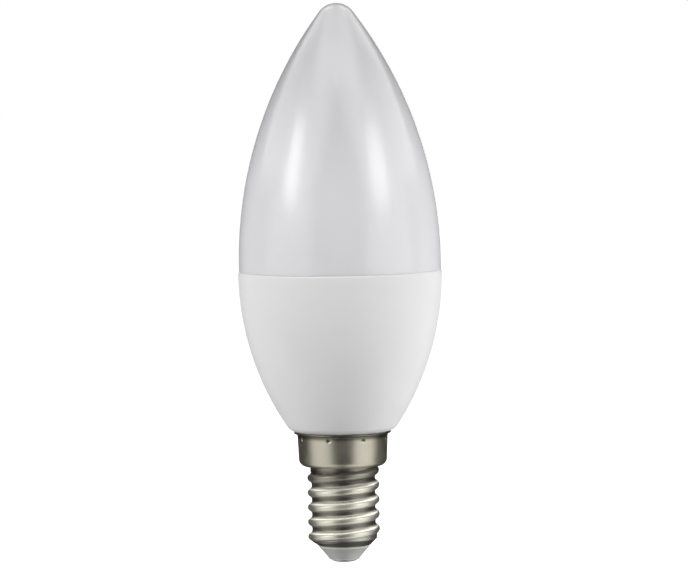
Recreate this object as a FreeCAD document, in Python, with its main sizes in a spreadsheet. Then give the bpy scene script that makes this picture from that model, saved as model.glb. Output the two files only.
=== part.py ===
import FreeCAD, Part
import math
import os
import Sketcher
from FreeCAD import Placement, Rotation, Vector

# A candle-shaped lamp with a small screw cap, in millimetres.
#
# A frosted candle-shaped diffuser is plugged into a white tapered housing. A thin
# nickelled shell with a rolled thread sits on the housing's neck and is held there by
# punch marks. A white insulator closes the shell's small end, and a button contact is
# pressed into it. The body is sealed and opaque, so it is solid inside.
#
# The origin is the centre of the contact's end face, and +Z runs along the axis of
# revolution towards the tip. The thread is right-handed about +Z.

PARTS_FOLDER = "parts"

# Driving sizes. A height above the contact's end face has a name that ends in "_z".
SIZES = [
    ("overall_length", 107.0, "contact face to tip"),
    ("body_diameter", 39.0, "housing just under the seam"),
    ("seam_z", 56.0, "joint between diffuser and housing"),
    ("seam_step", 0.15, "how far the diffuser stands inside the housing's outline"),
    ("diffuser_straight", 1.2, "cylindrical stretch of the diffuser above the seam"),
    ("nose_radius", 4.0, "rounding of the candle's tip"),
    ("rim_width", 1.7, "housing's upper rim, from outside to the diffuser's plug"),
    ("rim_round", 0.45, "rounding of that rim"),
    ("plug_depth", 2.4, "how deep the diffuser's plug goes into the housing"),
    ("plug_gap", 0.05, "gap round and under the plug"),
    ("foot_z", 25.1, "flat underside of the housing"),
    ("foot_land", 0.45, "width of the underside's flat ring round the boss"),
    ("foot_round", 2.55, "rounding of the housing's lower edge"),
    ("sheet", 0.3, "thickness of the cap's sheet metal"),
    ("thread_diameter", 13.8, "over the thread's crests"),
    ("thread_depth", 0.85, "crest to root"),
    ("thread_pitch", 2.822, "nine turns to the inch"),
    ("thread_start_z", 4.83, "crest height on the -X side, where the full wave begins"),
    ("fade_turns", 0.5, "length of the thread's run-out below that, in turns"),
    ("fade_sink", 1.6, "how far the crest sinks along the run-out"),
    ("fade_trim", 0.65, "rise per radius of the cone that trims the run-out from below"),
    ("root_land", 0.03, "height of the flat left at the bottom of the wave"),
    ("skirt_height", 6.6, "plain upper band of the cap, from shoulder to rim"),
    ("shoulder_width", 1.55, "how far that band stands out past the crests"),
    ("skirt_draft", 0.2, "how much wider the band is below its rim than at the shoulder"),
    ("shoulder_round", 1.35, "rounding of the shoulder's outer edge"),
    ("flare_width", 0.65, "how far the rim is flared out"),
    ("flare_round", 0.55, "hollow rounding under the flared rim"),
    ("rim_gap", 0.05, "gap between the flared rim and the housing"),
    ("neck_inset", 0.6, "how far the plain neck under the shoulder lies inside the crests"),
    ("neck_length", 1.0, "length of that neck"),
    ("neck_taper", 1.4, "height over which the neck narrows to the thread's root"),
    ("shell_end_z", 3.2, "lower edge of the shell"),
    ("lip_height", 0.1, "straight lip at that edge"),
    ("end_bevel", 1.15, "45 degree bevel above the lip"),
    ("collar_swell", 0.27, "how far the collar above the bevel stands out past the root"),
    ("collar_height", 0.85, "height of the collar"),
    ("collar_run", 0.4, "height over which the collar falls to the root"),
    ("fit_gap", 0.05, "gap between the shell and what fills it"),
    ("mark_count", 8, "punch marks round the cap's upper band"),
    ("mark_drop", 0.3, "centre of a punch mark below the foot of the flare"),
    ("mark_angle", 27, "first punch mark, in degrees from +X"),
    ("mark_ball", 0.6, "radius of the punch's ball end"),
    ("mark_depth", 0.2, "depth of a punch mark"),
    ("insulator_top_z", 7.0, "upper face of the insulator inside the shell"),
    ("band_height", 0.4, "straight band of the insulator below the shell"),
    ("flank_height", 0.75, "sloping flank below that band"),
    ("flank_inset", 0.7, "how much the flank narrows"),
    ("ledge_height", 0.2, "height of the ledge below the flank"),
    ("ledge_inset", 0.2, "how much that ledge narrows"),
    ("seat_height", 0.15, "straight foot of the insulator's cone"),
    ("seat_border", 0.45, "how far that foot reaches past the contact"),
    ("contact_diameter", 5.0, "head of the contact"),
    ("contact_height", 0.45, "thickness of the head"),
    ("dome_width", 1.0, "rounded border of the head"),
    ("head_edge", 0.15, "straight edge of the head"),
    ("shank_diameter", 1.6, "shank of the contact"),
    ("shank_length", 4.15, "length of the shank above the head"),
]

doc = FreeCAD.newDocument("CandleLamp")
table = doc.addObject("Spreadsheet::Sheet", "Sizes")
for row, (alias, value, meaning) in enumerate(SIZES, start=1):
    table.set(f"A{row}", alias)
    table.set(f"B{row}", str(value))
    table.set(f"C{row}", meaning)
    table.setAlias(f"B{row}", alias)
doc.recompute()

# Places that more than one feature uses, as expressions on the sizes.
BODY = "Sizes.body_diameter / 2"
PLUG = f"({BODY} - Sizes.rim_width)"
CREST = "Sizes.thread_diameter / 2"
ROOT = f"({CREST} - Sizes.thread_depth + Sizes.root_land)"
BORE = f"({ROOT} - Sizes.sheet)"
SKIRT = f"({CREST} + Sizes.shoulder_width)"
FLARE_FOOT_RADIUS = f"({SKIRT} + Sizes.skirt_draft)"
FLARE = f"({FLARE_FOOT_RADIUS} + Sizes.flare_width)"
RIM_Z = "(Sizes.foot_z - Sizes.rim_gap)"
FLARE_Z = f"({RIM_Z} - Sizes.sheet)"
FLARE_FOOT_Z = f"({FLARE_Z} - Sizes.flare_round)"
FLARE_LAND = f"({FLARE_FOOT_RADIUS} + Sizes.flare_round)"
SHOULDER_Z = f"({RIM_Z} - Sizes.skirt_height)"
COLLAR = f"({ROOT} + Sizes.collar_swell)"
LIP = f"({COLLAR} - Sizes.end_bevel)"
LIP_TOP_Z = "(Sizes.shell_end_z + Sizes.lip_height)"
SKIRT_ROUND_INSIDE = "(Sizes.shoulder_round - Sizes.sheet)"
# Where the sloping wall above the lip turns into the bore, inside the shell.
BEVEL_WALL = "(Sizes.sheet * sqrt(2))"
BEVEL_TOP_Z = f"({LIP_TOP_Z} + {BORE} + {BEVEL_WALL} - {LIP})"
LIP_BORE = f"({LIP} - Sizes.sheet)"
BEVEL_FOOT_Z = f"({LIP_TOP_Z} + {BEVEL_WALL} - Sizes.sheet)"


def value_of(expression):
    """The number that an expression on the sizes gives."""
    return float(table.evalExpression(expression))


def origin_part(body, role):
    return next(f for f in body.Origin.OriginFeatures if f.Role == role)


def new_body(label):
    body = doc.addObject("PartDesign::Body", label)
    body.Label = label
    return body


def pin(sketch, edge, end, radius, height):
    """Holds one end of a sketched edge at a radius and a height."""
    for kind, place, axis in (("DistanceX", radius, -2), ("DistanceY", height, -1)):
        if place == "0":
            sketch.addConstraint(Sketcher.Constraint("PointOnObject", edge, end, axis))
        else:
            index = sketch.addConstraint(
                Sketcher.Constraint(kind, -1, 1, edge, end, value_of(place)))
            sketch.setExpression(f"Constraints[{index}]", place)


def arc_between(start, finish, radius, hollow):
    """An arc that bulges to the right of the way from start to finish, or to its left if
    hollow, and the number of its end that is the start."""
    chord = finish - start
    to_left = Vector(-chord.y, chord.x, 0).normalize()
    rise = math.sqrt(max(radius ** 2 - (chord.Length / 2) ** 2, 0))
    centre = (start + finish) / 2 + to_left * (-rise if hollow else rise)
    ends = (finish, start) if hollow else (start, finish)
    first, last = (math.atan2(p.y - centre.y, p.x - centre.x) for p in ends)
    if last <= first:
        last += 2 * math.pi
    circle = Part.Circle(centre, Vector(0, 0, 1), radius)
    return Part.ArcOfCircle(circle, first, last), 2 if hollow else 1


def profile(body, name, corners, arcs=None):
    """A closed sketch on the XZ plane through corners, each a radius and a height.
    arcs gives, for the number of a corner, the radius of the arc that leaves it and
    whether that arc is hollow. The other edges are straight."""
    sketch = body.newObject("Sketcher::SketchObject", name)
    sketch.AttachmentSupport = [(origin_part(body, "XZ_Plane"), "")]
    sketch.MapMode = "FlatFace"
    arcs = arcs or {}
    places = [Vector(value_of(radius), value_of(height), 0) for radius, height in corners]
    edges = []
    for number, place in enumerate(places):
        following = places[(number + 1) % len(places)]
        curve, start = Part.LineSegment(place, following), 1
        if number in arcs:
            radius, hollow = arcs[number]
            curve, start = arc_between(place, following, value_of(radius), hollow)
        edges.append((sketch.addGeometry(curve, False), start))
    for number, (edge, start) in enumerate(edges):
        before, before_start = edges[number - 1]
        sketch.addConstraint(
            Sketcher.Constraint("Coincident", before, 3 - before_start, edge, start))
        pin(sketch, edge, start, *corners[number])
        if number in arcs:
            radius = arcs[number][0]
            index = sketch.addConstraint(
                Sketcher.Constraint("Radius", edge, value_of(radius)))
            sketch.setExpression(f"Constraints[{index}]", radius)
    return sketch


def turn(body, sketch, kind="PartDesign::Revolution"):
    """Turns a profile about the lamp's axis, as material or, for a Groove, as a cut."""
    feature = body.newObject(kind, sketch.Name + "Turned")
    feature.Profile = sketch
    feature.ReferenceAxis = (sketch, ["V_Axis"])
    feature.Angle = 360
    feature.Refine = kind != "PartDesign::Groove"
    sketch.Visibility = False
    doc.recompute()
    return feature


# The diffuser is one milky moulding, solid here because nothing shows inside. Its side is
# one large arc that leaves the straight stretch upright and runs smoothly into the nose.
def make_diffuser():
    body = new_body("diffuser")
    side = f"({BODY} - Sizes.seam_step)"
    bottom = "(Sizes.seam_z - Sizes.plug_depth)"
    bend = "(Sizes.seam_z + Sizes.diffuser_straight)"
    nose = "Sizes.nose_radius"
    tip = "Sizes.overall_length"
    run = f"({tip} - {nose} - {bend})"
    flank = f"(({side}^2 + {run}^2 - {nose}^2) / (2 * ({side} - {nose})))"
    meeting = (f"{nose} * ({flank} - {side}) / ({flank} - {nose})",
               f"{tip} - {nose} + {nose} * {run} / ({flank} - {nose})")
    corners = [("0", bottom), (PLUG, bottom), (PLUG, "Sizes.seam_z"),
               (side, "Sizes.seam_z"), (side, bend), meeting, ("0", tip)]
    turn(body, profile(body, "Candle", corners, {4: (flank, False), 5: (nose, False)}))
    return body


# The housing is a white moulding whose side leaves the seam upright, tapers in one arc and
# runs smoothly into the rounded lower edge. Its boss fills the cap's skirt, and the neck
# below the boss fills the threaded shell.
def make_housing():
    body = new_body("housing")
    recess = f"{PLUG} + Sizes.plug_gap"
    floor = "Sizes.seam_z - Sizes.plug_depth - Sizes.plug_gap"
    boss = f"({SKIRT} - Sizes.sheet - Sizes.fit_gap)"
    boss_z = f"({SHOULDER_Z} + Sizes.sheet + Sizes.fit_gap)"
    chamfer = SKIRT_ROUND_INSIDE
    neck = f"{BORE} - Sizes.fit_gap"
    neck_z = "Sizes.insulator_top_z + Sizes.fit_gap"
    foot = f"({boss} + Sizes.foot_land)"
    curl = "Sizes.foot_round"
    rim_z = "(Sizes.seam_z - Sizes.rim_round)"
    width = f"({BODY} - {foot})"
    drop = f"({rim_z} - Sizes.foot_z - {curl})"
    taper = f"(({width}^2 + {drop}^2 - {curl}^2) / (2 * ({width} - {curl})))"
    reach = f"({taper} / ({taper} - {curl}))"
    meeting = (f"{BODY} - {taper} + ({taper} - {width}) * {reach}", f"{rim_z} - {drop} * {reach}")
    corners = [
        ("0", neck_z), (neck, neck_z), (neck, boss_z), (f"{boss} - {chamfer}", boss_z),
        (boss, f"{boss_z} + {chamfer}"), (boss, "Sizes.foot_z"), (foot, "Sizes.foot_z"),
        meeting, (BODY, rim_z), (f"{BODY} - Sizes.rim_round", "Sizes.seam_z"),
        (recess, "Sizes.seam_z"), (recess, floor), ("0", floor),
    ]
    arcs = {6: (curl, False), 7: (taper, False), 8: ("Sizes.rim_round", False)}
    turn(body, profile(body, "HousingOutline", corners, arcs))
    return body


def add_shell_outline(body):
    """The cap's shell before threading, filled to the axis."""
    collar_z = f"{LIP_TOP_Z} + Sizes.end_bevel + Sizes.collar_height"
    neck = f"{CREST} - Sizes.neck_inset"
    neck_z = f"{SHOULDER_Z} - Sizes.neck_length"
    corners = [
        ("0", "Sizes.shell_end_z"), (LIP, "Sizes.shell_end_z"), (LIP, LIP_TOP_Z),
        (COLLAR, f"{LIP_TOP_Z} + Sizes.end_bevel"), (COLLAR, collar_z),
        (ROOT, f"{collar_z} + Sizes.collar_run"), (ROOT, f"{neck_z} - Sizes.neck_taper"),
        (neck, neck_z), (neck, SHOULDER_Z), (f"{SKIRT} - Sizes.shoulder_round", SHOULDER_Z),
        (SKIRT, f"{SHOULDER_Z} + Sizes.shoulder_round"), (FLARE_FOOT_RADIUS, FLARE_FOOT_Z),
        (FLARE_LAND, FLARE_Z), (FLARE, FLARE_Z), (FLARE, RIM_Z), ("0", RIM_Z),
    ]
    arcs = {9: ("Sizes.shoulder_round", False), 11: ("Sizes.flare_round", True)}
    turn(body, profile(body, "ShellOutline", corners, arcs))


def add_helix(body, name, sketch, turns):
    """Carries a profile up a helix. Faces aren't merged after it or any later cut, because
    merging the thread's faces leaves a shape on which further cuts fail."""
    helix = body.newObject("PartDesign::AdditiveHelix", name)
    helix.Refine = False
    helix.Profile = sketch
    helix.ReferenceAxis = (sketch, ["V_Axis"])
    helix.Mode = "pitch-turns-angle"
    helix.setExpression("Pitch", "Sizes.thread_pitch")
    helix.setExpression("Turns", turns)
    sketch.Visibility = False
    return helix


def add_thread(body):
    """One wave of equal crest and root arcs. It starts on the -X side, climbs into the
    shoulder, and runs out below its start along a cone, round the +Y side."""
    pitch, depth, start = "Sizes.thread_pitch", "Sizes.thread_depth", "Sizes.thread_start_z"
    wave = f"(({pitch} / 2)^2 + {depth}^2) / (4 * {depth})"
    reach = f"{pitch} / 2 - sqrt(2 * {wave} * Sizes.root_land - Sizes.root_land^2)"
    turning = f"{CREST} - {depth} / 2"
    corners = [
        (LIP, f"{start} - ({reach})"), (ROOT, f"{start} - ({reach})"),
        (turning, f"{start} - {pitch} / 4"), (turning, f"{start} + {pitch} / 4"),
        (ROOT, f"{start} + ({reach})"), (LIP, f"{start} + ({reach})"),
    ]
    arcs = {1: (wave, True), 2: (wave, False), 3: (wave, True)}
    sketch = profile(body, "ThreadWave", corners, arcs)
    sketch.AttachmentOffset = Placement(Vector(), Rotation(Vector(0, 1, 0), 180))
    add_helix(body, "RolledThread", sketch, f"({SHOULDER_Z} - {start}) / {pitch} + 0.6")
    doc.recompute()
    fade = add_helix(body, "ThreadRunOut", sketch, "Sizes.fade_turns")
    fade.Reversed = True
    fade.setExpression("Angle", f"-atan(Sizes.fade_sink / (Sizes.fade_turns * {pitch}))")
    doc.recompute()


def trim_run_out(body):
    """Trims what the run-out leaves below the bevel and below the shell's lower edge."""
    below = "Sizes.thread_start_z - 2 * Sizes.thread_pitch"
    outside = f"({CREST} + Sizes.thread_depth)"
    corners = [
        ("0", below), (outside, below),
        (outside, f"{LIP_TOP_Z} + Sizes.fade_trim * ({outside} - {LIP})"), (LIP, LIP_TOP_Z),
        (LIP, "Sizes.shell_end_z"), ("0", "Sizes.shell_end_z"),
    ]
    turn(body, profile(body, "RunOutTrim", corners), "PartDesign::Groove")


def bore_shell(body):
    """Empties the shell, which leaves sheet metal at lip, bevel, root, shoulder and skirt."""
    floor_z = f"({SHOULDER_Z} + Sizes.sheet)"
    skirt = f"({SKIRT} - Sizes.sheet)"
    below = "Sizes.shell_end_z - Sizes.sheet"
    above = f"{RIM_Z} + Sizes.sheet"
    corners = [
        ("0", below), (LIP_BORE, below), (LIP_BORE, BEVEL_FOOT_Z), (BORE, BEVEL_TOP_Z),
        (BORE, floor_z), (f"{skirt} - {SKIRT_ROUND_INSIDE}", floor_z),
        (skirt, f"{floor_z} + {SKIRT_ROUND_INSIDE}"),
        (f"{FLARE_FOOT_RADIUS} - Sizes.sheet", FLARE_FOOT_Z),
        (FLARE_LAND, RIM_Z), (FLARE_LAND, above), ("0", above),
    ]
    arcs = {5: (SKIRT_ROUND_INSIDE, False), 7: ("Sizes.flare_round + Sizes.sheet", True)}
    turn(body, profile(body, "ShellBore", corners, arcs), "PartDesign::Groove")


def punch_marks(body):
    """Ball-ended punch marks that hold the shell on the housing."""
    centre = f"({FLARE_FOOT_RADIUS} + Sizes.mark_ball - Sizes.mark_depth)"
    ball = body.newObject("PartDesign::SubtractiveSphere", "PunchMark")
    ball.Refine = False
    ball.AttachmentSupport = [(origin_part(body, "XY_Plane"), "")]
    ball.MapMode = "FlatFace"
    ball.setExpression("Radius", "Sizes.mark_ball")
    offset = "AttachmentOffset.Base"
    ball.setExpression(f"{offset}.x", f"{centre} * cos(Sizes.mark_angle * 1deg)")
    ball.setExpression(f"{offset}.y", f"{centre} * sin(Sizes.mark_angle * 1deg)")
    ball.setExpression(f"{offset}.z", f"{FLARE_FOOT_Z} - Sizes.mark_drop")
    doc.recompute()
    ring = body.newObject("PartDesign::PolarPattern", "PunchMarks")
    ring.Refine = False
    ring.Originals = [ball]
    ring.Axis = (origin_part(body, "Z_Axis"), [""])
    ring.Angle = 360
    ring.setExpression("Occurrences", "Sizes.mark_count")
    body.Tip = ring
    doc.recompute()


# The cap's shell is nickelled sheet metal: a flared rim, a plain skirt, a shoulder and a
# thread rolled into the wall, whose lower end is turned in over the insulator.
def make_cap_shell():
    body = new_body("cap_shell")
    add_shell_outline(body)
    add_thread(body)
    trim_run_out(body)
    bore_shell(body)
    punch_marks(body)
    return body


# The insulator is a white plug behind the shell's lip, with a band, a flank, a ledge and a
# cone below it, and a blind hole for the contact's shank.
def make_insulator():
    body = new_body("cap_insulator")
    gap = "Sizes.fit_gap"
    shank = "Sizes.shank_diameter / 2"
    blind_z = f"Sizes.contact_height + Sizes.shank_length + {gap}"
    seat = "(Sizes.contact_diameter / 2 + Sizes.seat_border)"
    band = f"({LIP_BORE} - {gap})"
    band_z = "(Sizes.shell_end_z - Sizes.band_height)"
    flank = f"({band} - Sizes.flank_inset)"
    flank_z = f"({band_z} - Sizes.flank_height)"
    corners = [
        ("0", blind_z), (shank, blind_z), (shank, "Sizes.contact_height"),
        (seat, "Sizes.contact_height"), (seat, "Sizes.contact_height + Sizes.seat_height"),
        (f"{flank} - Sizes.ledge_inset", f"{flank_z} - Sizes.ledge_height"),
        (flank, flank_z), (band, band_z), (band, f"{BEVEL_FOOT_Z} + {gap}"),
        (f"{BORE} - {gap}", f"{BEVEL_TOP_Z} + {gap}"),
        (f"{BORE} - {gap}", "Sizes.insulator_top_z"), ("0", "Sizes.insulator_top_z"),
    ]
    turn(body, profile(body, "InsulatorOutline", corners))
    return body


# The contact is a nickelled pin whose domed head is the lamp's lowest point.
def make_contact():
    body = new_body("centre_contact")
    head = "Sizes.contact_diameter / 2"
    rise = "(Sizes.contact_height - Sizes.head_edge)"
    dome = f"({rise}^2 + Sizes.dome_width^2) / (2 * {rise})"
    shank = "Sizes.shank_diameter / 2"
    shank_z = "Sizes.contact_height + Sizes.shank_length"
    corners = [
        ("0", "0"), (f"{head} - Sizes.dome_width", "0"), (head, rise),
        (head, "Sizes.contact_height"), (shank, "Sizes.contact_height"),
        (shank, shank_z), ("0", shank_z),
    ]
    turn(body, profile(body, "ContactOutline", corners, {1: (dome, False)}))
    return body


bodies = [make_diffuser(), make_housing(), make_cap_shell(), make_insulator(), make_contact()]
doc.recompute()

for item in doc.Objects:
    if "Invalid" in item.State or "Error" in item.State:
        raise RuntimeError(f"{item.Label} did not compute: {item.State}")
for body in bodies:
    if body.Shape.isNull() or not body.Shape.isValid() or len(body.Shape.Solids) != 1:
        raise RuntimeError(f"{body.Label} is not one valid solid")

os.makedirs(PARTS_FOLDER, exist_ok=True)
for body in bodies:
    body.Shape.exportStep(os.path.join(PARTS_FOLDER, body.Label + ".step"))
    box = body.Shape.optimalBoundingBox(False)
    print(f"{body.Label}: {body.Shape.Volume:.1f} mm3,"
          f" radius {box.XMax:.2f}, height {box.ZMin:.2f} to {box.ZMax:.2f}")
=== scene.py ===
import math

import bmesh
import bpy
from mathutils import Matrix, Vector


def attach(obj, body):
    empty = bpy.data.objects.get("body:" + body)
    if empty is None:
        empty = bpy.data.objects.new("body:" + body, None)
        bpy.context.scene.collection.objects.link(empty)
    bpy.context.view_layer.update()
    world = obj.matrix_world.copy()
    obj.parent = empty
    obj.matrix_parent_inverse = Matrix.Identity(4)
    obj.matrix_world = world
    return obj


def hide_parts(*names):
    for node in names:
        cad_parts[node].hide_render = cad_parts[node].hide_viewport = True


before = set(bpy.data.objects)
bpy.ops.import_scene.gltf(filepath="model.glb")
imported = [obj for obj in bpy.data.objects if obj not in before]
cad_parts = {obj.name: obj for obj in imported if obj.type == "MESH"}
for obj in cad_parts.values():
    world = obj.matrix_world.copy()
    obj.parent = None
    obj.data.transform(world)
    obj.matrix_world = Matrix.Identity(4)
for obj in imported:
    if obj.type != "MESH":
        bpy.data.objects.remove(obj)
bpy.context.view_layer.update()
MM = 0.001


# ---------------------------------------------------------------------------------------
# Diffuser. The candle is one blow-moulded shell of milky plastic with a fine satin skin.
# Its side is one long arc that leaves the seam upright and runs into a small round tip,
# and its lower edge is a plug that is pressed into the housing's rim.
# ---------------------------------------------------------------------------------------
SEAM_Z = 56.0
SEAM_EDGE = 0.03
DIFFUSER_RADIUS = 19.35
PLUG_RADIUS = 17.8
PLUG_Z = 53.6
PLUG_EDGE = 0.15
BEND_Z = 57.2
TIP_Z = 107.0
TIP_ROUND = 4.0
ROUND_STEPS = 192
NO_DISTANCE = 1e-6
SOFT_EDGE = math.radians(35)


def arc(centre, radius, first, last, steps):
    """Points of an arc in the plane of radius and height, with angles in degrees."""
    angles = [math.radians(first + (last - first) * n / steps) for n in range(steps + 1)]
    return [(centre[0] + radius * math.cos(a), centre[1] + radius * math.sin(a)) for a in angles]


def line(start, finish, steps):
    """Points along a straight stretch, both ends included."""
    return [tuple(a + (b - a) * n / steps for a, b in zip(start, finish))
            for n in range(steps + 1)]


def joined(*stretches):
    """One outline from stretches that meet end to end."""
    outline = []
    for stretch in stretches:
        for point in stretch:
            if not outline or math.dist(point[:2], outline[-1][:2]) > NO_DISTANCE:
                outline.append(point)
    return outline


def turned(name, outline, steps=ROUND_STEPS):
    """A closed piece turned about the lamp's axis from an outline in millimetres that runs
    from the axis below to the axis above."""
    shape = bmesh.new()
    rings = []
    for radius, height in outline:
        if radius < NO_DISTANCE:
            rings.append([shape.verts.new((0, 0, height * MM))])
            continue
        rings.append([
            shape.verts.new((radius * MM * math.cos(math.tau * n / steps),
                             radius * MM * math.sin(math.tau * n / steps), height * MM))
            for n in range(steps)])
    for lower, upper in zip(rings, rings[1:]):
        for n in range(steps):
            following = (n + 1) % steps
            corners = [lower[n % len(lower)], lower[following % len(lower)],
                       upper[following % len(upper)], upper[n % len(upper)]]
            shape.faces.new(list(dict.fromkeys(corners)))
    mesh = bpy.data.meshes.new(name)
    shape.to_mesh(mesh)
    shape.free()
    mesh.polygons.foreach_set("use_smooth", [True] * len(mesh.polygons))
    mesh.set_sharp_from_angle(angle=SOFT_EDGE)
    piece = bpy.data.objects.new(name, mesh)
    bpy.context.scene.collection.objects.link(piece)
    return piece


def add_node(tree, kind, values=None, **settings):
    """A node with its settings, and with its inputs, which values gives by name as a number
    or as the socket that feeds them."""
    node = tree.nodes.new(kind)
    for key, setting in settings.items():
        setattr(node, key, setting)
    for key, value in (values or {}).items():
        if isinstance(value, bpy.types.NodeSocket):
            tree.links.new(value, node.inputs[key])
        else:
            node.inputs[key].default_value = value
    return node


def math_node(tree, operation, *terms):
    node = add_node(tree, "ShaderNodeMath", dict(enumerate(terms)), operation=operation)
    return node.outputs["Value"]


def blank_material(name):
    """A material with only its shader, and the place on the piece that patterns read."""
    material = bpy.data.materials.new(name)
    material.use_nodes = True
    tree = material.node_tree
    shader = tree.nodes["Principled BSDF"]
    place = add_node(tree, "ShaderNodeTexCoord").outputs["Object"]
    return material, tree, shader, place


def noise(tree, place, scale, detail=3.0, roughness=0.5):
    return add_node(tree, "ShaderNodeTexNoise", {
        "Vector": place, "Scale": scale, "Detail": detail, "Roughness": roughness}).outputs["Fac"]


def ramp(tree, value, first, last, low=0.0, high=1.0, **settings):
    """Goes from low to high while the value goes from first to last."""
    return add_node(tree, "ShaderNodeMapRange", {
        "Value": value, "From Min": first, "From Max": last, "To Min": low, "To Max": high,
    }, **settings).outputs["Result"]


def spread(tree, value, low, high):
    """Stretches the middle half of a noise to a range."""
    return ramp(tree, value, first=0.25, last=0.75, low=low, high=high)


def shades(tree, value, dark, light):
    """A colour between two shades, by a noise."""
    band = add_node(tree, "ShaderNodeValToRGB", {"Fac": value})
    for stop, position, shade in zip(band.color_ramp.elements, (0.3, 0.7), (dark, light)):
        stop.position = position
        stop.color = (*shade, 1)
    return band.outputs["Color"]


def mixed(tree, factor, first, second):
    """A colour between two others."""
    return add_node(tree, "ShaderNodeMix", {"Factor": factor, "A": first, "B": second},
                    data_type="RGBA").outputs["Result"]


def scaled(tree, colour, factor):
    """A colour made lighter or darker."""
    return add_node(tree, "ShaderNodeVectorMath", {0: colour, "Scale": factor},
                    operation="SCALE").outputs["Vector"]


def dimples(tree, shader, height, strength, depth):
    """Raises the shader's surface by a pattern, depth in metres."""
    bump = add_node(tree, "ShaderNodeBump", {
        "Height": height, "Strength": strength, "Distance": depth})
    tree.links.new(bump.outputs["Normal"], shader.inputs["Normal"])


def milky_plastic():
    """Milky plastic, with painted light that makes it lighter low down and darker at the tip."""
    material, tree, shader, place = blank_material("MilkyPlastic")
    cloud = noise(tree, place, scale=55.0, detail=2.0)
    skin = noise(tree, place, scale=900.0, detail=4.0, roughness=0.6)
    orange_peel = noise(tree, place, scale=330.0, detail=2.0)
    height = add_node(tree, "ShaderNodeSeparateXYZ", {"Vector": place}).outputs["Z"]
    # Painted light: the colour is made lighter towards the seam and darker towards the tip.
    painted_light_by_height = ramp(tree, height, first=68.0 * MM, last=106.0 * MM, low=1.12, high=0.75,
                   interpolation_type="SMOOTHSTEP")
    milk = shades(tree, cloud, dark=(0.703, 0.701, 0.720), light=(0.727, 0.725, 0.744))
    tree.links.new(scaled(tree, milk, painted_light_by_height), shader.inputs["Base Color"])
    tree.links.new(spread(tree, skin, low=0.2, high=0.25), shader.inputs["Roughness"])
    dimples(tree, shader, math_node(tree, "ADD", skin, orange_peel), strength=0.05, depth=0.0002)
    shader.inputs["Subsurface Weight"].default_value = 0.3
    shader.inputs["Subsurface Radius"].default_value = (1.0, 0.95, 0.9)
    shader.inputs["Subsurface Scale"].default_value = 0.001
    shader.inputs["IOR"].default_value = 1.49
    shader.inputs["Specular IOR Level"].default_value = 0.85
    return material


# The radius and the angle at which the side's arc meets the tip's smoothly.
rise = TIP_Z - TIP_ROUND - BEND_Z
flank = (DIFFUSER_RADIUS ** 2 + rise ** 2 - TIP_ROUND ** 2) / (2 * (DIFFUSER_RADIUS - TIP_ROUND))
tip_angle = math.degrees(math.atan2(rise, flank - DIFFUSER_RADIUS))
candle = joined(
    line((0, PLUG_Z), (PLUG_RADIUS - PLUG_EDGE, PLUG_Z), 6),
    arc((PLUG_RADIUS - PLUG_EDGE, PLUG_Z + PLUG_EDGE), PLUG_EDGE, -90, 0, 3),
    line((PLUG_RADIUS, PLUG_Z + PLUG_EDGE), (PLUG_RADIUS, SEAM_Z), 4),
    line((PLUG_RADIUS, SEAM_Z), (DIFFUSER_RADIUS - SEAM_EDGE, SEAM_Z), 2),
    arc((DIFFUSER_RADIUS - SEAM_EDGE, SEAM_Z + SEAM_EDGE), SEAM_EDGE, -90, 0, 3),
    line((DIFFUSER_RADIUS, SEAM_Z + SEAM_EDGE), (DIFFUSER_RADIUS, BEND_Z), 2),
    arc((DIFFUSER_RADIUS - flank, BEND_Z), flank, 0, tip_angle, 64),
    arc((0, TIP_Z - TIP_ROUND), TIP_ROUND, tip_angle, 90, 20)[:-1],
    [(0.0, TIP_Z)],
)
diffuser = turned("diffuser_moulding", candle)
diffuser.data.materials.append(milky_plastic())
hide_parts("diffuser")
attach(diffuser, "root")


# ---------------------------------------------------------------------------------------
# Housing. A white injection-moulded body that tapers in one arc to a flat underside with
# a rounded edge. Its boss and neck fill the cap, which is crimped on to them.
# ---------------------------------------------------------------------------------------
BODY_RADIUS = 19.5
RIM_ROUND = 0.45
RECESS_RADIUS = 17.85
RECESS_Z = 53.55
FOOT_Z = 25.1
FOOT_RADIUS = 8.55
FOOT_ROUND = 2.55
BOSS_RADIUS = 8.1
BOSS_Z = 18.8
BOSS_CHAMFER = 1.05
NECK_RADIUS = 5.73
NECK_Z = 7.05


def white_plastic():
    material, tree, shader, place = blank_material("WhitePlastic")
    cloud = noise(tree, place, scale=70.0, detail=2.0)
    skin = noise(tree, place, scale=1400.0, detail=4.0, roughness=0.65)
    tree.links.new(shades(tree, cloud, dark=(0.81, 0.81, 0.81), light=(0.836, 0.836, 0.836)),
                   shader.inputs["Base Color"])
    tree.links.new(spread(tree, skin, low=0.36, high=0.46), shader.inputs["Roughness"])
    dimples(tree, shader, skin, strength=0.06, depth=0.0002)
    shader.inputs["Subsurface Weight"].default_value = 0.2
    shader.inputs["Subsurface Radius"].default_value = (1.0, 0.95, 0.9)
    shader.inputs["Subsurface Scale"].default_value = 0.001
    shader.inputs["IOR"].default_value = 1.5
    return material


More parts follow.
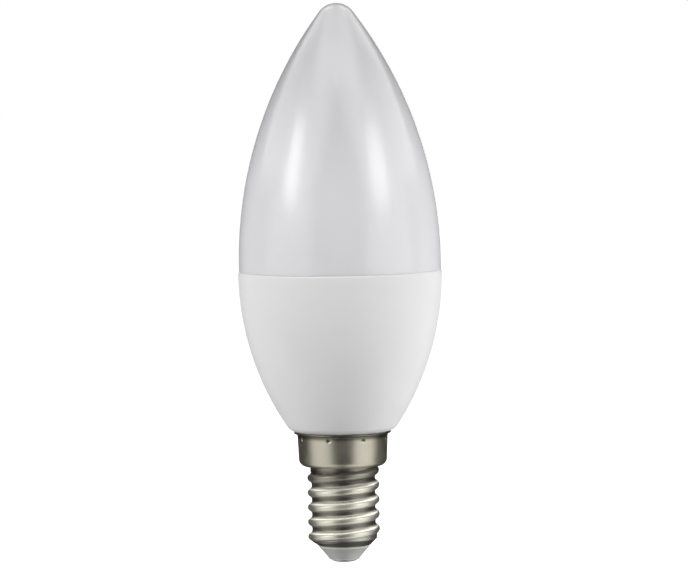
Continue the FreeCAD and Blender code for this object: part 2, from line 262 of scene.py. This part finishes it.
# The side leaves the rim upright and runs smoothly into the rounding of the lower edge.
rim_z = SEAM_Z - RIM_ROUND
drop = rim_z - FOOT_Z - FOOT_ROUND
inset = BODY_RADIUS - FOOT_RADIUS
taper = (inset ** 2 + drop ** 2 - FOOT_ROUND ** 2) / (2 * (inset - FOOT_ROUND))
meeting = math.degrees(math.atan2(-drop, taper - inset))
boss_top = (BOSS_RADIUS, BOSS_Z + BOSS_CHAMFER)
body_outline = joined(
    line((0, NECK_Z), (NECK_RADIUS, NECK_Z), 3),
    line((NECK_RADIUS, NECK_Z), (NECK_RADIUS, BOSS_Z), 6),
    line((NECK_RADIUS, BOSS_Z), (BOSS_RADIUS - BOSS_CHAMFER, BOSS_Z), 1),
    line((BOSS_RADIUS - BOSS_CHAMFER, BOSS_Z), boss_top, 1),
    line(boss_top, (BOSS_RADIUS, FOOT_Z), 3),
    line((BOSS_RADIUS, FOOT_Z), (FOOT_RADIUS, FOOT_Z), 2),
    arc((FOOT_RADIUS, FOOT_Z + FOOT_ROUND), FOOT_ROUND, -90, meeting, 20),
    arc((BODY_RADIUS - taper, rim_z), taper, meeting, 0, 48),
    arc((BODY_RADIUS - RIM_ROUND, rim_z), RIM_ROUND, 0, 90, 8),
    line((BODY_RADIUS - RIM_ROUND, SEAM_Z), (RECESS_RADIUS, SEAM_Z), 2),
    line((RECESS_RADIUS, SEAM_Z), (RECESS_RADIUS, RECESS_Z), 3),
    line((RECESS_RADIUS, RECESS_Z), (0, RECESS_Z), 5),
)
housing = turned("housing_moulding", body_outline)
housing.data.materials.append(white_plastic())
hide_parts("housing")
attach(housing, "root")


# ---------------------------------------------------------------------------------------
# Cap shell. Thin nickelled sheet, drawn to a cup, with a flared rim, a plain skirt held by
# a ring of punch marks, and a right-hand thread rolled into its lower wall. The thread and
# the marks follow a rule, so Geometry Nodes raise or press them on the plain section.
# ---------------------------------------------------------------------------------------
SHEET = 0.3
SHEET_EDGE = 0.12
CREST = 6.9
THREAD_DEPTH = 0.85
PITCH = 2.822
THREAD_START_Z = 4.83
RUN_OUT_TURNS = 0.5
RUN_OUT_SINK = 1.6
RUN_OUT_RISE = 0.65
BLEND = 0.1
SHELL_END_Z = 3.2
LIP = 5.2
LIP_TOP_Z = 3.3
COLLAR = 6.35
COLLAR_Z = 4.45
COLLAR_TOP_Z = 5.3
COLLAR_RUN = 0.4
ROOT = 6.08
NECK = 6.3
TAPER_Z = 16.05
NECK_FOOT_Z = 17.45
SHOULDER_Z = 18.45
SHOULDER_ROUND = 1.35
SHOULDER_STEPS = 5
SKIRT = 8.45
PLAIN_SKIRT = 0.8
FLARE_FOOT = 8.65
FLARE_FOOT_Z = 24.2
FLARE_ROUND = 0.55
FLARE = 9.3
SHELL_RIM_Z = 25.05
BORE = 5.78
BEVEL_TOP_Z = 4.304
BEVEL_FOOT_Z = 3.424
MARK_COUNT = 8
FIRST_MARK = 27.0
MARK_Z = 23.9
MARK_BALL = 0.6
MARK_DEPTH = 0.2
MARK_END_ANGLE = 140
SHELL_STEPS = 384
WELD = 2e-7
# The dark tone painted as shade into the cap's grooves, flange, marks and first turn.
PAINTED_SHADE_TONE = (0.13, 0.12, 0.10, 1)
THREAD_ROUGHENING = 0.05


def marked(points, roll=0.0, punched=0.0, wall=None):
    """Section points with what the tree reads: the wall that the wave is measured from, how
    far the wave lifts the point, and whether the punch reaches it."""
    return [(r, z, r if wall is None else wall, roll, punched) for r, z in points]


def shell_section():
    """The plain shell's closed section as a ring of points in millimetres."""
    corner = (SKIRT - SHOULDER_ROUND, SHOULDER_Z + SHOULDER_ROUND)
    shoulder = marked(line((NECK, SHOULDER_Z), (corner[0], SHOULDER_Z), SHOULDER_STEPS), wall=NECK)
    shoulder = [(*point[:3], 1 - number / SHOULDER_STEPS, 0.0)
                for number, point in enumerate(shoulder)]
    plain_top = (SKIRT + PLAIN_SKIRT * (FLARE_FOOT - SKIRT),
                 corner[1] + PLAIN_SKIRT * (FLARE_FOOT_Z - corner[1]))
    flare_centre = (FLARE_FOOT + FLARE_ROUND, FLARE_FOOT_Z)
    flange_z = SHELL_RIM_Z - SHEET
    edge = FLARE - SHEET_EDGE
    return joined(
        marked(line((LIP - SHEET, SHELL_END_Z), (LIP - SHEET_EDGE, SHELL_END_Z), 2)),
        marked(arc((LIP - SHEET_EDGE, SHELL_END_Z + SHEET_EDGE), SHEET_EDGE, -90, 0, 3)),
        marked(line((LIP, LIP_TOP_Z), (COLLAR, COLLAR_Z), 14), roll=1.0),
        marked(line((COLLAR, COLLAR_Z), (COLLAR, COLLAR_TOP_Z), 8), roll=1.0),
        marked(line((COLLAR, COLLAR_TOP_Z), (ROOT, COLLAR_TOP_Z + COLLAR_RUN), 4), roll=1.0),
        marked(line((ROOT, COLLAR_TOP_Z + COLLAR_RUN), (ROOT, TAPER_Z), 82), roll=1.0),
        marked(line((ROOT, TAPER_Z), (NECK, NECK_FOOT_Z), 12), roll=1.0),
        marked(line((NECK, NECK_FOOT_Z), (NECK, SHOULDER_Z), 8), roll=1.0),
        shoulder,
        marked(arc(corner, SHOULDER_ROUND, -90, 0, 14)),
        marked(line((SKIRT, corner[1]), plain_top, 3)),
        marked(line(plain_top, (FLARE_FOOT, FLARE_FOOT_Z), 12), punched=1.0),
        marked(arc(flare_centre, FLARE_ROUND, 180, MARK_END_ANGLE, 5), punched=1.0),
        marked(arc(flare_centre, FLARE_ROUND, MARK_END_ANGLE, 90, 4)),
        marked(arc((edge, flange_z + SHEET_EDGE), SHEET_EDGE, -90, 0, 2)),
        marked(arc((edge, SHELL_RIM_Z - SHEET_EDGE), SHEET_EDGE, 0, 90, 2)),
        marked(arc(flare_centre, FLARE_ROUND + SHEET, 90, 180, 6)),
        marked(line((FLARE_FOOT - SHEET, FLARE_FOOT_Z), (SKIRT - SHEET, corner[1]), 3)),
        marked(arc(corner, SHOULDER_ROUND - SHEET, 0, -90, 8)),
        marked(line((corner[0], SHOULDER_Z + SHEET), (BORE, SHOULDER_Z + SHEET), 2)),
        marked(line((BORE, SHOULDER_Z + SHEET), (BORE, BEVEL_TOP_Z), 14)),
        marked(line((BORE, BEVEL_TOP_Z), (LIP - SHEET, BEVEL_FOOT_Z), 2)),
    )


def section_object(points):
    """The section as a ring of edges that carries its marks as attributes."""
    radii, heights, walls, rolls, punches = zip(*points)
    mesh = bpy.data.meshes.new("ShellSection")
    edges = [(n, (n + 1) % len(points)) for n in range(len(points))]
    mesh.from_pydata([(r * MM, 0, z * MM) for r, z in zip(radii, heights)], edges, [])
    for name, values in (("wall", [wall * MM for wall in walls]),
                         ("roll", rolls), ("punched", punches)):
        mesh.attributes.new(name, "FLOAT", "POINT").data.foreach_set("value", values)
    piece = bpy.data.objects.new("ShellSection", mesh)
    bpy.context.scene.collection.objects.link(piece)
    return piece


def threaded_shell_tree():
    """Turns a section about Z, and lifts the rolled thread and sinks the punch marks."""
    tree = bpy.data.node_groups.new("ThreadedShell", "GeometryNodeTree")
    sockets = tree.interface
    sockets.new_socket("Section", in_out="INPUT", socket_type="NodeSocketGeometry")
    for name in ("Steps Round", "Section Points", "Mark Count"):
        sockets.new_socket(name, in_out="INPUT", socket_type="NodeSocketInt")
    for name in ("Crest Radius", "Thread Depth", "Pitch", "Start Height", "Run-out Turns",
                 "Run-out Sink", "Lip Radius", "Lip Height", "Lip Rise", "Blend",
                 "First Mark", "Mark Height", "Mark Wall", "Mark Ball", "Mark Depth"):
        sockets.new_socket(name, in_out="INPUT", socket_type="NodeSocketFloat")
    sockets.new_socket("Material", in_out="INPUT", socket_type="NodeSocketMaterial")
    sockets.new_socket("Shell", in_out="OUTPUT", socket_type="NodeSocketGeometry")
    given = tree.nodes.new("NodeGroupInput").outputs

    def calc(operation, *terms):
        return math_node(tree, operation, *terms)

    def sampled(attribute, kind, index):
        node = add_node(tree, "GeometryNodeSampleIndex", {"Geometry": given["Section"]},
                        data_type=kind, domain="POINT")
        tree.links.new(attribute, node.inputs["Value"])
        tree.links.new(index, node.inputs["Index"])
        return node.outputs["Value"]

    def named(name):
        return add_node(tree, "GeometryNodeInputNamedAttribute", {"Name": name},
                        data_type="FLOAT").outputs["Attribute"]

    # A grid of turns across and section points up, whose last row is the first again.
    grid = add_node(tree, "GeometryNodeMeshGrid", {
        "Size X": 1.0, "Size Y": 1.0,
        "Vertices X": calc("ADD", given["Steps Round"], 1.0),
        "Vertices Y": calc("ADD", given["Section Points"], 1.0)})
    position = add_node(tree, "GeometryNodeInputPosition").outputs["Position"]
    across = add_node(tree, "ShaderNodeSeparateXYZ", {"Vector": position}).outputs
    row = calc("ROUND", calc("MULTIPLY", calc("ADD", across["Y"], 0.5), given["Section Points"]))
    row = calc("FLOORED_MODULO", row, given["Section Points"])
    turn = calc("ADD", across["X"], 0.5)
    angle = calc("MULTIPLY", turn, math.tau)
    plain = add_node(tree, "ShaderNodeSeparateXYZ",
                     {"Vector": sampled(position, "FLOAT_VECTOR", row)}).outputs
    wall = sampled(named("wall"), "FLOAT", row)
    roll = sampled(named("roll"), "FLOAT", row)
    punched = sampled(named("punched"), "FLOAT", row)

    # The wave: two tangent arcs, measured from the nearest crest.
    climbed = calc("SUBTRACT", turn, 0.5)
    crests = calc("SUBTRACT", calc("DIVIDE", calc("SUBTRACT", plain["Z"], given["Start Height"]),
                                   given["Pitch"]), climbed)
    nearest = calc("ROUND", crests)
    away = calc("MULTIPLY", calc("ABSOLUTE", calc("SUBTRACT", crests, nearest)), given["Pitch"])
    half = calc("MULTIPLY", given["Pitch"], 0.5)
    curve = calc("DIVIDE", calc("ADD", calc("MULTIPLY", half, half), calc(
        "MULTIPLY", given["Thread Depth"], given["Thread Depth"])),
        calc("MULTIPLY", given["Thread Depth"], 4.0))
    square = calc("MULTIPLY", curve, curve)
    from_root = calc("SUBTRACT", half, away)
    rise = calc("SQRT", calc("SUBTRACT", square, calc("MULTIPLY", away, away)))
    fall = calc("SQRT", calc("SUBTRACT", square, calc("MULTIPLY", from_root, from_root)))
    root = calc("SUBTRACT", given["Crest Radius"], given["Thread Depth"])
    crest_arc = calc("ADD", calc("SUBTRACT", given["Crest Radius"], curve), rise)
    root_arc = calc("SUBTRACT", calc("ADD", root, curve), fall)
    on_crest = calc("LESS_THAN", away, calc("MULTIPLY", given["Pitch"], 0.25))
    wave = add_node(tree, "ShaderNodeMix", {
        "Factor": on_crest, "A": root_arc, "B": crest_arc}).outputs["Result"]

    # The run-out below its start, and the cone that closes it over the lip.
    along = calc("ADD", climbed, nearest)
    sunk = calc("MULTIPLY", calc("MAXIMUM", calc("MULTIPLY", along, -1.0), 0.0),
                calc("DIVIDE", given["Run-out Sink"], given["Run-out Turns"]))
    cone = calc("ADD", given["Lip Radius"], calc("DIVIDE", calc(
        "SUBTRACT", plain["Z"], given["Lip Height"]), given["Lip Rise"]))
    wave = calc("MINIMUM", calc("SUBTRACT", wave, sunk), cone)
    lift = calc("SUBTRACT", calc("SMOOTH_MAX", wave, wall, given["Blend"]), wall)
    radius = calc("ADD", plain["X"], calc("MULTIPLY", lift, roll))

    # The punch marks: a ball pressed into the skirt.
    marks = calc("DIVIDE", calc("MULTIPLY", calc("SUBTRACT", angle, given["First Mark"]),
                                given["Mark Count"]), math.tau)
    beside = calc("SUBTRACT", marks, calc("ROUND", marks))
    beside = calc("MULTIPLY", calc("DIVIDE", calc("MULTIPLY", beside, math.tau),
                                   given["Mark Count"]), given["Mark Wall"])
    above = calc("SUBTRACT", plain["Z"], given["Mark Height"])
    off_centre = calc("ADD", calc("MULTIPLY", beside, beside), calc("MULTIPLY", above, above))
    ball = calc("SQRT", calc("SUBTRACT", calc(
        "MULTIPLY", given["Mark Ball"], given["Mark Ball"]), off_centre))
    dent = calc("SUBTRACT", calc("ADD", given["Mark Wall"], calc(
        "SUBTRACT", given["Mark Ball"], given["Mark Depth"])), ball)
    dented = calc("SMOOTH_MIN", radius, dent, given["Blend"])
    radius = calc("ADD", radius, calc("MULTIPLY", calc("SUBTRACT", dented, radius), punched))

    placed = add_node(tree, "ShaderNodeCombineXYZ", {
        "X": calc("MULTIPLY", radius, calc("COSINE", angle)),
        "Y": calc("MULTIPLY", radius, calc("SINE", angle)), "Z": plain["Z"]}).outputs["Vector"]
    moved = add_node(tree, "GeometryNodeSetPosition", {
        "Geometry": grid.outputs["Mesh"], "Position": placed})
    closed = add_node(tree, "GeometryNodeMergeByDistance", {
        "Geometry": moved.outputs["Geometry"], "Distance": WELD})
    real = add_node(tree, "GeometryNodeRealizeInstances", {"Geometry": closed.outputs["Geometry"]})
    finished = add_node(tree, "GeometryNodeSetMaterial", {
        "Geometry": real.outputs["Geometry"], "Material": given["Material"]})
    out = tree.nodes.new("NodeGroupOutput")
    tree.links.new(finished.outputs["Geometry"], out.inputs["Shell"])
    return tree


def nickel_plate():
    material, tree, shader, place = blank_material("NickelPlate")
    apart = add_node(tree, "ShaderNodeSeparateXYZ", {"Vector": place}).outputs
    from_axis = add_node(tree, "ShaderNodeCombineXYZ", {"X": apart["X"], "Y": apart["Y"]})
    radius = add_node(tree, "ShaderNodeVectorMath", {0: from_axis.outputs["Vector"]},
                      operation="LENGTH").outputs["Value"]
    on_thread = ramp(tree, apart["Z"], first=17.6 * MM, last=18.6 * MM, low=1.0, high=0.0)
    haze = noise(tree, place, scale=380.0, detail=4.0, roughness=0.6)
    skirt_shade = shades(tree, haze, dark=(0.485, 0.459, 0.376), light=(0.525, 0.497, 0.408))
    thread_shade = shades(tree, haze, dark=(0.50, 0.485, 0.425), light=(0.56, 0.545, 0.48))
    plated = mixed(tree, on_thread, skirt_shade, thread_shade)

    # Painted shade darkens the grooves, the flange, the turn under the skirt and the marks.
    in_groove = ramp(tree, radius, first=6.12 * MM, last=6.4 * MM, low=0.85, high=0.0)
    on_flange = ramp(tree, apart["Z"], first=23.75 * MM, last=24.3 * MM, high=0.9)
    under_skirt = ramp(tree, apart["Z"], first=15.3 * MM, last=16.3 * MM, high=0.75)
    in_mark = ramp(tree, radius, first=8.5 * MM, last=8.6 * MM, low=0.8, high=0.0)
    at_marks = ramp(tree, apart["Z"], first=23.2 * MM, last=23.3 * MM)
    painted_shade = math_node(tree, "ADD", in_groove, on_flange)
    painted_shade = math_node(tree, "MULTIPLY_ADD", under_skirt, on_thread, painted_shade)
    painted_shade = math_node(tree, "MULTIPLY_ADD", in_mark, at_marks, painted_shade)
    shaded_plate = mixed(tree, painted_shade, plated, PAINTED_SHADE_TONE)

    # Painted highlight and shade: by the way it faces, each crest's face and upper flank is
    # made lighter and the rounding between the two darker, in place of the lamps' reflection.
    facing_up = add_node(tree, "ShaderNodeSeparateXYZ", {
        "Vector": place.node.outputs["Normal"]}).outputs["Z"]
    on_crest = ramp(tree, radius, first=6.35 * MM, last=6.5 * MM, high=on_thread)
    painted_sheen_by_facing = ramp(tree, facing_up, first=0.1, last=0.42, low=0.32, high=-0.5)
    upper_flank_highlight = ramp(tree, facing_up, first=0.56, last=0.76, high=1.2)
    painted_highlight_gain = math_node(tree, "ADD", painted_sheen_by_facing, upper_flank_highlight)
    painted_highlight_gain = math_node(tree, "MULTIPLY_ADD", painted_highlight_gain, on_crest, 1.0)
    tree.links.new(scaled(tree, shaded_plate, painted_highlight_gain), shader.inputs["Base Color"])

    worn = math_node(tree, "MULTIPLY_ADD", on_thread, THREAD_ROUGHENING,
                     spread(tree, haze, low=0.31, high=0.41))
    tree.links.new(worn, shader.inputs["Roughness"])
    stretched = add_node(tree, "ShaderNodeMapping", {"Vector": place, "Scale": (40, 40, 2600)})
    rolling = noise(tree, stretched.outputs["Vector"], scale=1.0, detail=3.0, roughness=0.6)
    dimples(tree, shader, rolling, strength=0.12, depth=0.00008)
    shader.inputs["Metallic"].default_value = 1.0
    return material


section = shell_section()
sizes = {
    "Steps Round": SHELL_STEPS, "Section Points": len(section), "Mark Count": MARK_COUNT,
    "Crest Radius": CREST * MM, "Thread Depth": THREAD_DEPTH * MM, "Pitch": PITCH * MM,
    "Start Height": THREAD_START_Z * MM, "Run-out Turns": RUN_OUT_TURNS,
    "Run-out Sink": RUN_OUT_SINK * MM, "Lip Radius": LIP * MM, "Lip Height": LIP_TOP_Z * MM,
    "Lip Rise": RUN_OUT_RISE, "Blend": BLEND * MM, "First Mark": math.radians(FIRST_MARK),
    "Mark Height": MARK_Z * MM, "Mark Wall": FLARE_FOOT * MM, "Mark Ball": MARK_BALL * MM,
    "Mark Depth": MARK_DEPTH * MM, "Material": nickel_plate(),
}
source = section_object(section)
threading = source.modifiers.new("RolledThread", "NODES")
threading.node_group = threaded_shell_tree()
for socket in threading.node_group.interface.items_tree:
    if socket.in_out == "INPUT" and socket.name in sizes:
        threading[socket.identifier] = sizes[socket.name]
evaluated = source.evaluated_get(bpy.context.evaluated_depsgraph_get())
shell_mesh = bpy.data.meshes.new_from_object(evaluated)
source.modifiers.remove(threading)
bpy.data.objects.remove(source)
shell_mesh.name = "cap_shell_sheet"

# The shell's faces are made to agree, and then to point out of the metal.
facing = bmesh.new()
facing.from_mesh(shell_mesh)
bmesh.ops.recalc_face_normals(facing, faces=facing.faces)
if facing.calc_volume(signed=True) < 0:
    bmesh.ops.reverse_faces(facing, faces=facing.faces)
facing.to_mesh(shell_mesh)
facing.free()
shell_mesh.polygons.foreach_set("use_smooth", [True] * len(shell_mesh.polygons))
shell_mesh.set_sharp_from_angle(angle=SOFT_EDGE)
cap_shell = bpy.data.objects.new("cap_shell_sheet", shell_mesh)
bpy.context.scene.collection.objects.link(cap_shell)
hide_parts("cap_shell")
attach(cap_shell, "root")


# ---------------------------------------------------------------------------------------
# Cap insulator. A white moulded plug that the shell's lip is turned in over. Below the
# lip it has a short band, a sloping flank, a small ledge and a cone.
# ---------------------------------------------------------------------------------------
BLIND_RADIUS = 0.8
BLIND_Z = 4.65
SEAT_Z = 0.45
SEAT_RADIUS = 2.95
SEAT_EDGE = 0.05
SEAT_TOP_Z = 0.6
LEDGE_RADIUS = 3.95
LEDGE_Z = 1.85
FLANK_RADIUS = 4.15
FLANK_Z = 2.05
BAND_RADIUS = 4.85
BAND_Z = 2.8
PLUG_FOOT_Z = 3.474
PLUG_BEVEL_Z = 4.354
PLUG_TOP_Z = 7.0
INSULATOR_STEPS = 128


def white_insulator():
    material, tree, shader, place = blank_material("InsulatorPlastic")
    cloud = noise(tree, place, scale=300.0)
    skin = noise(tree, place, scale=2500.0, roughness=0.6)
    # Painted shade: the white plastic is coloured mid-grey for the shade it sits in under the cap.
    tree.links.new(shades(tree, cloud, dark=(0.52, 0.52, 0.50), light=(0.57, 0.57, 0.55)),
                   shader.inputs["Base Color"])
    tree.links.new(spread(tree, skin, low=0.28, high=0.4), shader.inputs["Roughness"])
    dimples(tree, shader, skin, strength=0.08, depth=0.0001)
    return material


plug_outline = joined(
    line((0, BLIND_Z), (BLIND_RADIUS, BLIND_Z), 1),
    line((BLIND_RADIUS, BLIND_Z), (BLIND_RADIUS, SEAT_Z), 4),
    line((BLIND_RADIUS, SEAT_Z), (SEAT_RADIUS - SEAT_EDGE, SEAT_Z), 2),
    arc((SEAT_RADIUS - SEAT_EDGE, SEAT_Z + SEAT_EDGE), SEAT_EDGE, -90, 0, 3),
    line((SEAT_RADIUS, SEAT_TOP_Z), (LEDGE_RADIUS, LEDGE_Z), 4),
    line((LEDGE_RADIUS, LEDGE_Z), (FLANK_RADIUS, FLANK_Z), 2),
    line((FLANK_RADIUS, FLANK_Z), (BAND_RADIUS, BAND_Z), 3),
    line((BAND_RADIUS, BAND_Z), (BAND_RADIUS, PLUG_FOOT_Z), 2),
    line((BAND_RADIUS, PLUG_FOOT_Z), (NECK_RADIUS, PLUG_BEVEL_Z), 2),
    line((NECK_RADIUS, PLUG_BEVEL_Z), (NECK_RADIUS, PLUG_TOP_Z), 3),
    line((NECK_RADIUS, PLUG_TOP_Z), (0, PLUG_TOP_Z), 3),
)
insulator = turned("cap_insulator_plug", plug_outline, INSULATOR_STEPS)
insulator.data.materials.append(white_insulator())
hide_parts("cap_insulator")
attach(insulator, "root")


# ---------------------------------------------------------------------------------------
# Centre contact. A nickelled pin whose domed head lies under the insulator and carries the
# current in. Its shank is pressed into the insulator's blind hole.
# ---------------------------------------------------------------------------------------
HEAD_RADIUS = 2.5
HEAD_Z = 0.45
DOME_Z = 0.3
DOME_WIDTH = 1.0
SHANK_TOP_Z = 4.6
PIN_STEPS = 96


def contact_metal():
    material, tree, shader, place = blank_material("ContactMetal")
    wear = noise(tree, place, scale=900.0, detail=4.0, roughness=0.65)
    tree.links.new(shades(tree, wear, dark=(0.44, 0.425, 0.38), light=(0.60, 0.585, 0.54)),
                   shader.inputs["Base Color"])
    tree.links.new(spread(tree, wear, low=0.25, high=0.45), shader.inputs["Roughness"])
    dimples(tree, shader, wear, strength=0.15, depth=0.0001)
    shader.inputs["Metallic"].default_value = 1.0
    return material


dome = (DOME_Z ** 2 + DOME_WIDTH ** 2) / (2 * DOME_Z)
dome_angle = math.degrees(math.asin(DOME_WIDTH / dome))
pin_outline = joined(
    line((0, 0), (HEAD_RADIUS - DOME_WIDTH, 0), 3),
    arc((HEAD_RADIUS - DOME_WIDTH, dome), dome, -90, dome_angle - 90, 8),
    line((HEAD_RADIUS, DOME_Z), (HEAD_RADIUS, HEAD_Z), 2),
    line((HEAD_RADIUS, HEAD_Z), (BLIND_RADIUS, HEAD_Z), 2),
    line((BLIND_RADIUS, HEAD_Z), (BLIND_RADIUS, SHANK_TOP_Z), 3),
    line((BLIND_RADIUS, SHANK_TOP_Z), (0, SHANK_TOP_Z), 1),
)
contact = turned("centre_contact_pin", pin_outline, PIN_STEPS)
contact.data.materials.append(contact_metal())
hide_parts("centre_contact")
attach(contact, "root")


# ---------------------------------------------------------------------------------------
# Stage. A plain pale floor that only the camera sees, in a room that is white to the camera
# and nearly dark to the lamp, so that the soft boxes alone light it and show in it.
# ---------------------------------------------------------------------------------------
STAGE_HALF = 4.0
FLOOR_GLOW = 0.97
ROOM_GREY = 0.04
LIGHT_DISTANCE = 0.8
LIGHT_CENTRE = Vector((0, 0, 0.055))


def pale_floor():
    material, tree, shader, place = blank_material("PaleFloor")
    grain = noise(tree, place, scale=40.0)
    tree.links.new(shades(tree, grain, dark=(0.86, 0.86, 0.86), light=(0.88, 0.88, 0.88)),
                   shader.inputs["Base Color"])
    shader.inputs["Roughness"].default_value = 0.9
    shader.inputs["Emission Color"].default_value = (1, 1, 1, 1)
    shader.inputs["Emission Strength"].default_value = FLOOR_GLOW
    return material


floor_mesh = bpy.data.meshes.new("floor")
floor_mesh.from_pydata(
    [(-STAGE_HALF, -STAGE_HALF, 0), (STAGE_HALF, -STAGE_HALF, 0),
     (STAGE_HALF, STAGE_HALF, 0), (-STAGE_HALF, STAGE_HALF, 0)], [], [(0, 1, 2, 3)])
floor = bpy.data.objects.new("floor", floor_mesh)
bpy.context.scene.collection.objects.link(floor)
floor.data.materials.append(pale_floor())
floor.visible_diffuse = False
floor.visible_glossy = False
floor.visible_shadow = False

world = bpy.data.worlds.new("Studio")
bpy.context.scene.world = world
world.use_nodes = True
sky = world.node_tree
seen = add_node(sky, "ShaderNodeLightPath").outputs["Is Camera Ray"]
room = mixed(sky, seen, (ROOM_GREY, ROOM_GREY, ROOM_GREY, 1), (1.0, 1.0, 1.0, 1))
sky.links.new(room, sky.nodes["Background"].inputs["Color"])


def softbox(name, azimuth, elevation, wide, tall, radiance, lights):
    """A soft flat lamp that faces the object."""
    light = bpy.data.lights.new(name, "AREA")
    light.shape = "RECTANGLE"
    light.size = 2 * LIGHT_DISTANCE * math.tan(math.radians(wide / 2))
    light.size_y = 2 * LIGHT_DISTANCE * math.tan(math.radians(tall / 2))
    light.energy = radiance * math.pi * light.size * light.size_y
    box = bpy.data.objects.new(name, light)
    bpy.context.scene.collection.objects.link(box)
    turn, lift = math.radians(azimuth), math.radians(elevation)
    away = Vector((math.sin(turn) * math.cos(lift), -math.cos(turn) * math.cos(lift),
                   math.sin(lift)))
    box.location = LIGHT_CENTRE + away * LIGHT_DISTANCE
    box.rotation_euler = away.to_track_quat("Z", "Y").to_euler()
    box.visible_diffuse = lights != "shiny"
    box.visible_glossy = lights != "mat"


# Each box's name, azimuth to the right of the camera's side, elevation, width and height,
# all in degrees as seen from the object, its radiance, and which surfaces it reaches.
for box in (
    ("left_key", -62, 24, 17, 20, 4.3, "all"),
    ("right_key", 54, 24, 20, 20, 3.4, "all"),
    ("left_card", -60, -8, 60, 44, 0.97, "all"),
    ("right_card", 59, -8, 58, 44, 1.15, "all"),
    ("left_table", -68, -52, 60, 44, 1.0, "shiny"),
    ("right_table", 68, -52, 60, 44, 1.15, "shiny"),
    ("left_sail", -80, 50, 90, 70, 1.6, "shiny"),
    ("right_sail", 80, 50, 90, 70, 1.7, "shiny"),
    ("top_sail", 0, 88, 70, 70, 1.5, "shiny"),
    ("back_sail", 180, 55, 90, 50, 1.0, "shiny"),
    ("top_fill", 0, 80, 60, 60, 0.5, "mat"),
    ("left_fill", -63, 10, 50, 50, 1.0, "mat"),
    ("right_fill", 54, 10, 50, 50, 0.9, "mat"),
    ("front_fill", 0, 18, 50, 40, 0.95, "mat"),
    ("left_rim", -118, -18, 50, 50, 1.95, "mat"),
    ("right_rim", 118, -18, 50, 50, 3.1, "mat"),
):
    softbox(*box)


# ---------------------------------------------------------------------------------------
# Camera. It stands about level with the lamp's tip and looks slightly down, as the
# photograph's did, and leans by a degree, so the tip points slightly to the left.
# ---------------------------------------------------------------------------------------
CAMERA_DISTANCE = 0.820
CAMERA_Z = 0.104
AIM = Vector((0.00073, 0, 0.0533))
PICTURE_WIDTH = 0.1317
ROLL = -0.91
SENSOR_WIDTH = 36.0

camera_data = bpy.data.cameras.new("camera")
camera_data.sensor_width = SENSOR_WIDTH
camera_data.lens = SENSOR_WIDTH * CAMERA_DISTANCE / PICTURE_WIDTH
camera_data.clip_end = 50.0
camera = bpy.data.objects.new("camera", camera_data)
bpy.context.scene.collection.objects.link(camera)
back = math.sqrt(CAMERA_DISTANCE ** 2 - (CAMERA_Z - AIM.z) ** 2)
camera.location = (AIM.x, -back, CAMERA_Z)
facing_aim = (AIM - camera.location).to_track_quat("-Z", "Y").to_matrix().to_4x4()
leaning = Matrix.Rotation(math.radians(ROLL), 4, "Z")
camera.rotation_euler = (facing_aim @ leaning).to_euler()
bpy.context.scene.camera = camera
bpy.context.scene.view_settings.view_transform = "Standard"
